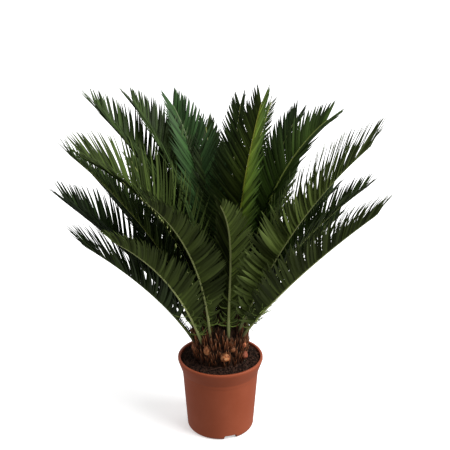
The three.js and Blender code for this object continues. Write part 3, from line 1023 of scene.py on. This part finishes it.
def flank_rows(rng, count, low, high, lengths, outward):
    """Scales over the flank of the stem, in a spiral from the height low to the height high.
    lengths: of the lowest and of the highest. outward: lean from upright, in radians."""
    rows = []
    for i in range(count):
        share = i / count
        height = lerp(low, high, share) + rng.uniform(-FLANK.height_spread, FLANK.height_spread)
        heading = FLANK.turn * i + rng.uniform(-FLANK.heading_spread, FLANK.heading_spread)
        radius = caudex_radius(height) - rng.uniform(*FLANK.sunk)
        lean = outward + rng.uniform(*FLANK.lean_spread)
        length = lerp(*lengths, share) * rng.uniform(*FLANK.length_spread)
        spin = math.radians(heading) + rng.uniform(-FLANK.spin, FLANK.spin)
        turn = (rng.uniform(-FLANK.side_lean, FLANK.side_lean), lean, spin)
        rows.append((around(radius, heading, height), turn, (length, length, length)))
    return rows


def crown_rows(rng, count):
    """Slender scales that stand among the feet of the fronds, the outer ones lower and
    leaning further out."""
    rows = []
    for _ in range(count):
        share = rng.uniform(0, 1)
        radius = lerp(*CROWN.radii, math.sqrt(share))
        heading = rng.uniform(0, 360)
        height = lerp(*CROWN.heights, share ** 2) + rng.uniform(*CROWN.height_spread)
        length = rng.uniform(*CROWN.lengths)
        lean = math.radians(lerp(*CROWN.leans, share) + rng.uniform(*CROWN.lean_spread))
        spin = math.radians(heading) + rng.uniform(-CROWN.spin, CROWN.spin)
        turn = (rng.uniform(-CROWN.side_lean, CROWN.side_lean), lean, spin)
        rows.append((around(radius, heading, height), turn, (length, length, length)))
    return rows


def make_scales(tree, finish):
    """The dry scales: broad and slim ones over the flank, and slim ones in the crown."""
    rng = np.random.default_rng(11)
    broad = make_scale("broad_scale", finish, width=0.30, thick=0.14, curl=0.10)
    slim = make_scale("slim_scale", finish, width=0.15, thick=0.09, curl=0.08)
    broad_rows = flank_rows(
        rng, count=110, low=0.148, high=0.196, lengths=(0.018, 0.026), outward=0.10
    )
    slim_rows = flank_rows(
        rng, count=620, low=0.144, high=0.204, lengths=(0.018, 0.023), outward=0.15
    )
    in_crown = crown_rows(rng, count=170)
    # name, piece, rows, darkest and palest tone, seed. The crown's reddish-brown scales are toned down
    # to between 0.1 and 0.5, painted shade among the feet of the fronds.
    kinds = (
        ("broad_scales", broad, broad_rows, (0.25, 0.8), 2),
        ("slim_scales", slim, slim_rows, (0.2, 1.6), 5),
        ("crown_scales", slim, in_crown, (0.1, 0.5), 7),
    )
    made = []
    for name, piece, rows, (darkest, palest), seed in kinds:
        points = stand_points(f"{name}_points", rows)
        made.append(scatter(
            name, tree, points, Piece=piece, Smallest=0.85, Largest=1.15, Darkest=darkest,
            Palest=palest, Seed=seed, Finish=finish,
        ))
        drop(points)
    drop(broad, slim)
    return made


BUDS = [
    # heading, height, radius, how tall against its width, tone, how red
    (280, 0.172, 0.0092, 1.0, 1.3, 0.0),
    (242, 0.184, 0.0068, 1.45, 0.95, 0.0),
    (205, 0.179, 0.0070, 1.15, 0.7, 0.1),
    (330, 0.164, 0.0074, 1.05, 0.72, 0.65),
    (296, 0.186, 0.0055, 1.1, 0.6, 0.0),
    (328, 0.186, 0.0050, 1.2, 1.2, 0.3),
    (75, 0.170, 0.0080, 1.1, 0.8, 0.1),
    (140, 0.176, 0.0070, 1.1, 0.6, 0.2),
]


def bud_faces(start, rows, sides):
    """Faces of a closed ball whose points begin at start: a pole, rows - 1 rings, a pole."""
    first = start + 1
    last = first + (rows - 1) * sides
    faces = []
    for k in range(sides):
        after = (k + 1) % sides
        faces.append((start, first + k, first + after))
        faces.append((last - sides + k, last, last - sides + after))
        for a in range(first, last - sides, sides):
            faces.append((a + k, a + sides + k, a + sides + after, a + after))
    return faces


def make_buds(finish):
    """Offset buds on the flank: rough knobs, painted darker towards the stem as painted shade."""
    points, faces, tones, reds = [], [], [], []
    for heading, height, radius, tall, tone, red in BUDS:
        out = around(1, heading, 0)
        across = Vector((-out.y, out.x, 0))
        standing = caudex_radius(height) + radius * BUD.sunk
        centre = out * standing + Vector((0, 0, height))
        faces += bud_faces(len(points), BUD.rows, BUD.sides)
        for i in range(BUD.rows + 1):
            polar = math.pi * i / BUD.rows
            for k in range(BUD.sides if 0 < i < BUD.rows else 1):
                turn = math.tau * k / BUD.sides
                side = math.sin(polar)
                spot = Vector((math.cos(polar), side * math.cos(turn), side * math.sin(turn)))
                own_place = spot * BUD.lumps + Vector((heading, 0, 0))
                spot *= 1 + BUD.roughness * noise.fractal(own_place, *BUD.layers)
                shift = out * spot.x + across * spot.y + Vector((0, 0, tall * spot.z))
                points.append(centre + radius * shift)
                # painted shade: darker where the bud meets the stem
                proud = min(1, max(0, BUD.front_gain * spot.x + BUD.front_start))
                tones.append(tone * lerp(*BUD.tones, proud))
                reds.append(red)
    buds = mesh_object("offset_buds", points, faces, [finish])
    store(buds, "tone", tones)
    store(buds, "red", reds)
    smooth(buds, sharp_angle=70)
    return buds


# ---------------------------------------------------------------- fronds


def frames_along(frond, shares):
    """Place, along, side and up of a frond's rib at the given shares of its length."""
    fine = np.linspace(0, 1, RIB.curve_steps + 1)
    lean = np.radians(lerp(*frond.lean, fine ** frond.ease))
    heading = np.radians(frond.heading + frond.sway * fine)
    outward = np.stack([np.cos(heading), np.sin(heading), np.zeros_like(fine)], 1)
    rise = np.array([0, 0, 1.0])
    sin, cos = np.sin(lean)[:, None], np.cos(lean)[:, None]
    along = outward * sin + rise * cos
    flat = rise * sin - outward * cos
    level = np.cross(along, flat)
    turn = math.radians(frond.turn)
    side = level * math.cos(turn) - flat * math.sin(turn)
    up = flat * math.cos(turn) + level * math.sin(turn)
    seat_radius, seat_height = frond.seat
    start = np.array(around(seat_radius, frond.heading, seat_height))
    steps = np.vstack([np.zeros(3), along[:-1]]) * frond.length / RIB.curve_steps
    place = start + np.cumsum(steps, 0)

    def at_shares(values):
        return np.stack([np.interp(shares, fine, values[:, axis]) for axis in range(3)], 1)

    return SimpleNamespace(
        place=at_shares(place),
        along=unit(at_shares(along)),
        side=unit(at_shares(side)),
        up=unit(at_shares(up)),
    )


def rib_half_width(share):
    """A rib grows thinner from its foot to its tip."""
    return lerp(RIB.base_half_width, RIB.tip_half_width, share ** RIB.taper_power)


def rib_arrays(frond):
    """Points, quads, tris and reach of one rib: a tube with a low top and a deep keel."""
    shares = np.linspace(0, 1, RIB.steps + 1)[:-1]
    at = frames_along(frond, shares)
    half = rib_half_width(shares)[:, None, None]
    angles = np.linspace(0, math.tau, RIB.sides, endpoint=False)
    across = np.cos(angles)[None, :, None]
    high = np.sin(angles)[None, :, None]
    high = np.where(high > 0, high * RIB.top_ratio, high * RIB.depth_ratio)
    ring = at.place[:, None] + half * (across * at.side[:, None] + high * at.up[:, None])
    apex = frames_along(frond, np.array([1.0])).place
    points = np.vstack([ring.reshape(-1, 3), apex])
    quads = []
    for i in range(RIB.steps - 1):
        for k in range(RIB.sides):
            after = (k + 1) % RIB.sides
            a, b = i * RIB.sides, (i + 1) * RIB.sides
            quads.append((a + k, b + k, b + after, a + after))
    last = (RIB.steps - 1) * RIB.sides
    tris = [(last + k, len(points) - 1, last + (k + 1) % RIB.sides) for k in range(RIB.sides)]
    tris += [(0, k, k + 1) for k in range(1, RIB.sides - 1)]
    reach = np.append(np.repeat(shares, RIB.sides), 1.0)
    return points, np.array(quads), np.array(tris), reach


def leaflet_length(frond, share):
    """Leaflets grow longer from the foot of the blade and shorter again to its tip."""
    risen = np.maximum(0, share - RIB.petiole)
    growing = np.minimum(1, LEAFLET.base_share + LEAFLET.base_gain * risen)
    late = np.maximum(0, share - LEAFLET.taper_start) / (1 - LEAFLET.taper_start)
    size = frond.leaf * math.sqrt(frond.length / LEAFLET.reference_frond)
    return LEAFLET.length * size * growing * (1 - LEAFLET.tip_loss * late ** LEAFLET.taper_power)


def leaflet_template():
    """Quads and tris of one leaflet, and the face of the leaf that each belongs to: 0 on
    top, 1 underneath."""
    quads, quad_faces = [], []
    for i in range(len(STATIONS) - 1):
        a, b = i * SECTION, (i + 1) * SECTION
        for k in range(SECTION):
            after = (k + 1) % SECTION
            quads.append((a + k, a + after, b + after, b + k))
            quad_faces.append(0 if k < 2 else 1)
    last = (len(STATIONS) - 1) * SECTION
    tip = len(STATIONS) * SECTION
    tris = [(last + k, last + (k + 1) % SECTION, tip) for k in range(SECTION)]
    tris += [(0, 2, 1), (0, 3, 2)]
    tri_faces = [0, 0, 1, 1, 1, 1]
    return np.array(quads), np.array(tris), np.array(quad_faces), np.array(tri_faces)


def leaflet_rows(frond, rng):
    """Where leaflets leave the rib: the share of its length, the side as 1 or -1, and which
    of them are hooks and which are spines."""
    blade = frond.length * (RIB.blade_end - frond.bare)
    rows = int(round(blade / LEAFLET.spacing))
    spines = np.arange(SPINE.first, frond.bare, LEAFLET.spacing / frond.length)
    along = np.concatenate([spines, np.linspace(frond.bare, RIB.blade_end, rows)])
    sign = np.tile([1.0, -1.0], len(along))
    shares = np.repeat(along, 2)
    uneven = rng.uniform(-SPREAD.place, SPREAD.place, len(shares))
    shares = shares + (sign * LEAFLET.stagger + uneven) / rows
    hooks = HOOK.count if frond.bare < HOOK.longest_bare else 0
    shares = np.concatenate([shares, rng.uniform(*HOOK.feet, hooks)])
    sign = np.concatenate([sign, rng.choice([-1.0, 1.0], hooks)])
    hook = np.arange(len(shares)) >= len(shares) - hooks
    spine = (shares < frond.bare) & ~hook
    return shares, sign, hook, spine


def leaflet_forms(frond, shares, hook, spine, rng):
    """Length, half width and, in degrees, the angles of each leaflet: angle to the rib and
    how far that bends on the way, vee above the rib's plane and how far it arches, roll."""
    count = len(shares)
    low = np.clip(1 - (shares - frond.bare) / LOWEST.reach, 0, 1)
    length = leaflet_length(frond, shares) * rng.uniform(*SPREAD.length, count)
    opened = np.clip(shares, 0, 1) ** LEAFLET.angle_power
    angle = lerp(LEAFLET.base_angle, LEAFLET.tip_angle, opened) + rng.normal(0, SPREAD.angle, count)
    length = length * (1 - low * rng.uniform(0, LOWEST.shorter, count))
    angle = angle - low * LOWEST.closer
    angle = angle + np.where(spine, 0, rng.normal(0, LOWEST.angle_spread, count) * low)
    bend = frond.curl * rng.uniform(*SPREAD.bend, count)
    bend = bend + np.where(spine, 0, low * rng.uniform(*LOWEST.more_bend, count))
    arch = frond.curl * rng.uniform(*SPREAD.arch, count)
    vee = LEAFLET.vee + rng.normal(0, SPREAD.vee, count)

    length = np.where(spine, SPINE.length, length)
    length = np.where(hook, rng.uniform(*HOOK.length, count), length)
    angle = np.where(hook, rng.uniform(*HOOK.angle, count), angle)
    bend = np.where(hook, rng.uniform(*HOOK.bend, count), bend)
    vee = np.where(hook, rng.uniform(*HOOK.vee, count), vee) + np.where(spine, SPINE.lift, 0)
    roll = rng.normal(LEAFLET.roll, SPREAD.roll, count)

    by_length = np.clip(length / LEAFLET.full_width_length, LEAFLET.least_width, 1.0)
    width = LEAFLET.width * math.sqrt(frond.leaf) * by_length * lerp(*LEAFLET.breadths, shares)
    width = width * (1 - LOWEST.narrower * low) * rng.uniform(*SPREAD.width, count)
    width = np.where(hook, HOOK.width, width)
    return SimpleNamespace(
        length=length, half_width=width / 2, angle=angle, bend=bend, vee=vee, arch=arch, roll=roll
    )


def leaflet_shells(at, foot, sign, form):
    """Points of every leaflet, as an array of leaflets by points by 3. Each starts at its
    foot and is followed from station to station to its tip."""
    points = np.zeros((len(foot), len(STATIONS) * SECTION + 1, 3))
    roll = np.radians(form.roll)[:, None]
    ends = np.append(STATIONS, 1.0)
    place = foot
    for i, station in enumerate(ends):
        to_rib = np.maximum(form.angle + form.bend * (0.5 - station), LEAFLET.least_angle)
        angle = np.radians(to_rib)[:, None]
        lift = np.radians(form.vee + form.arch * (0.5 - station))[:, None]
        heading = (
            at.along * np.cos(angle)
            + at.side * sign * np.sin(angle) * np.cos(lift)
            + at.up * np.sin(angle) * np.sin(lift)
        )
        if i > 0:
            place = place + heading * (form.length * (station - ends[i - 1]))[:, None]
        if i == len(STATIONS):
            points[:, -1] = place
            break
        broad = unit(at.along - heading * dot(at.along, heading))
        face = np.cross(heading, broad)
        face = face * np.sign(dot(face, at.up))
        across = broad * np.cos(roll) + face * np.sin(roll)
        normal = face * np.cos(roll) - broad * np.sin(roll)
        wide = (form.half_width * BREADTH[i])[:, None]
        sunk = normal * wide * LEAFLET.fold
        thin = normal * (LEAFLET.thickness + wide * LEAFLET.fold)
        corners = [place + across * wide - sunk, place, place - across * wide - sunk, place - thin]
        for k, corner in enumerate(corners):
            points[:, i * SECTION + k] = corner
    # the far edge comes first on one side of the rib and last on the other
    flipped = sign[:, 0] < 0
    for i in range(len(STATIONS)):
        a, b = i * SECTION, i * SECTION + 2
        points[flipped, a], points[flipped, b] = points[flipped, b].copy(), points[flipped, a].copy()
    return points


def leaflet_points(frond, rng):
    """Points of every leaflet of a frond, as an array of leaflets by points by 3, with
    the reach of each point and the tone of each leaflet, which carries the painted light and
    shade of its row."""
    shares, sign, hook, spine = leaflet_rows(frond, rng)
    form = leaflet_forms(frond, shares, hook, spine, rng)
    sign = sign[:, None]
    at = frames_along(frond, shares)
    half = rib_half_width(shares)[:, None]
    aside, raised = LEAFLET.attached
    foot = at.place + at.side * sign * half * aside + at.up * half * raised
    points = leaflet_shells(at, foot, sign, form)
    reach = np.tile(np.append(np.repeat(STATIONS, SECTION), 1.0), (len(points), 1))
    # painted light and shade: each row is painted lighter or darker as it is lit, and each hook lighter
    # still as a painted highlight
    left, right = frond.shade
    shade = np.where(hook, HOOK.shade, np.where(sign[:, 0] > 0, right, left))
    tone = shade * rng.uniform(*SPREAD.tone, len(points))
    return points, reach, np.repeat(tone[:, None], points.shape[1], 1)


def make_leaflets(name, fronds, finishes, seed):
    """The leaflets of some fronds as one piece."""
    quads, tris, quad_faces, tri_faces = leaflet_template()
    each = [
        leaflet_points(one, np.random.default_rng([seed, i])) for i, one in enumerate(fronds)
    ]
    points, reach, tone = (np.concatenate(arrays) for arrays in zip(*each))
    offsets = (np.arange(len(points)) * points.shape[1])[:, None, None]
    obj = array_object(
        name,
        points.reshape(-1, 3),
        (quads[None] + offsets).reshape(-1, 4),
        (tris[None] + offsets).reshape(-1, 3),
        [finishes.top, finishes.under],
        np.concatenate([np.tile(quad_faces, len(points)), np.tile(tri_faces, len(points))]),
    )
    store(obj, "reach", reach)
    store(obj, "tone", tone)
    smooth(obj, sharp_angle=45)
    return obj


def make_ribs(name, fronds, finish):
    """The ribs of some fronds as one piece."""
    points, quads, tris, reach = [], [], [], []
    for one in fronds:
        offset = sum(len(p) for p in points)
        rib_points, rib_quads, rib_tris, rib_reach = rib_arrays(one)
        points.append(rib_points)
        quads.append(rib_quads + offset)
        tris.append(rib_tris + offset)
        reach.append(rib_reach)
    quads, tris = np.concatenate(quads), np.concatenate(tris)
    one_finish = np.zeros(len(quads) + len(tris))
    obj = array_object(name, np.concatenate(points), quads, tris, [finish], one_finish)
    store(obj, "reach", np.concatenate(reach))
    smooth(obj, sharp_angle=60)
    return obj


# ---------------------------------------------------------------- the plant

plastic = make_pot_plastic()
peat = make_peat("peat", by_tone=False)
crumbly = make_peat("peat_crumb", by_tone=True)
bark = make_bark()
scale_brown = make_scale_brown()
knob_tan = make_knob_tan()
tints_and_light = make_tints_and_light()
dealt_tree = scatter_tree("dealt_over_a_surface", own_points=False)
placed_tree = scatter_tree("placed_on_points", own_points=True)

pot = make_pot(plastic)
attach(pot, "root")
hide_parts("pot")

soil = make_soil(peat)
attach(soil, "root")
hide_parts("soil")
for piece in (*make_crumbs(dealt_tree, crumbly), make_fibres(crumbly)):
    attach(piece, "root")

stem = make_caudex(bark)
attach(stem, "root")
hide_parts("caudex")
for piece in (*make_scales(placed_tree, scale_brown), make_buds(knob_tan)):
    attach(piece, "root")

for index, (tint_and_light, finishes) in enumerate(tints_and_light.items()):
    numbers = [i for i, one in enumerate(FRONDS) if one.tint_and_light == tint_and_light]
    group = [FRONDS[i] for i in numbers]
    ribs = make_ribs(f"ribs_{tint_and_light}", group, finishes.rib)
    leaflets = make_leaflets(f"leaflets_{tint_and_light}", group, finishes, 20 + index)
    for piece in (ribs, leaflets):
        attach(piece, "root")
    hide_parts(*[f"frond_{i + 1:02d}" for i in numbers])

# ---------------------------------------------------------------- stage, lights and camera


def make_stage():
    """A wide pale floor that throws no light on the plant."""
    finish = material(
        "pale_floor", 0.9, Specular_IOR_Level=0.1, Base_Color=(0.9, 0.9, 0.9, 1),
        Emission_Color=(1, 1, 1, 1), Emission_Strength=0.45,
    )[0]
    half = 60.0
    corners = [(-half, -half, 0), (half, -half, 0), (half, half, 0), (-half, half, 0)]
    floor = mesh_object("floor", corners, [(0, 1, 2, 3)], [finish])
    floor.visible_diffuse = False
    floor.visible_glossy = False


def sun_light(name, towards, softness, strength):
    """A distant soft light that shines from the direction towards, softness degrees wide."""
    light = bpy.data.lights.new(name, "SUN")
    light.angle = math.radians(softness)
    light.energy = strength
    obj = bpy.data.objects.new(name, light)
    obj.rotation_euler = Vector(towards).to_track_quat("Z", "Y").to_euler()
    bpy.context.scene.collection.objects.link(obj)


def make_world(strength):
    """A surround of even white light."""
    world = bpy.data.worlds.new("studio")
    world.use_nodes = True
    background = world.node_tree.nodes["Background"]
    background.inputs["Color"].default_value = (1, 1, 1, 1)
    background.inputs["Strength"].default_value = strength
    bpy.context.scene.world = world
    bpy.context.scene.view_settings.view_transform = "Standard"


def make_camera(place, tilt, focal_length):
    """A camera that looks along +Y and downwards. tilt: degrees up from straight down."""
    lens = bpy.data.cameras.new("camera")
    lens.lens = focal_length
    lens.sensor_width = 36
    lens.sensor_fit = "HORIZONTAL"
    camera = bpy.data.objects.new("camera", lens)
    camera.location = place
    camera.rotation_euler = (math.radians(tilt), 0, 0)
    bpy.context.scene.collection.objects.link(camera)
    bpy.context.scene.camera = camera


make_stage()
sun_light("key", towards=(1.0, -0.42, 1.0), softness=42, strength=3.4)
sun_light("back", towards=(0.5, 0.9, 1.2), softness=50, strength=0.7)
sun_light("left", towards=(-1.0, -0.05, 0.35), softness=50, strength=0.5)
make_world(strength=0.32)
make_camera(place=(0.009, -1.306, 0.850), tilt=71.62, focal_length=60)
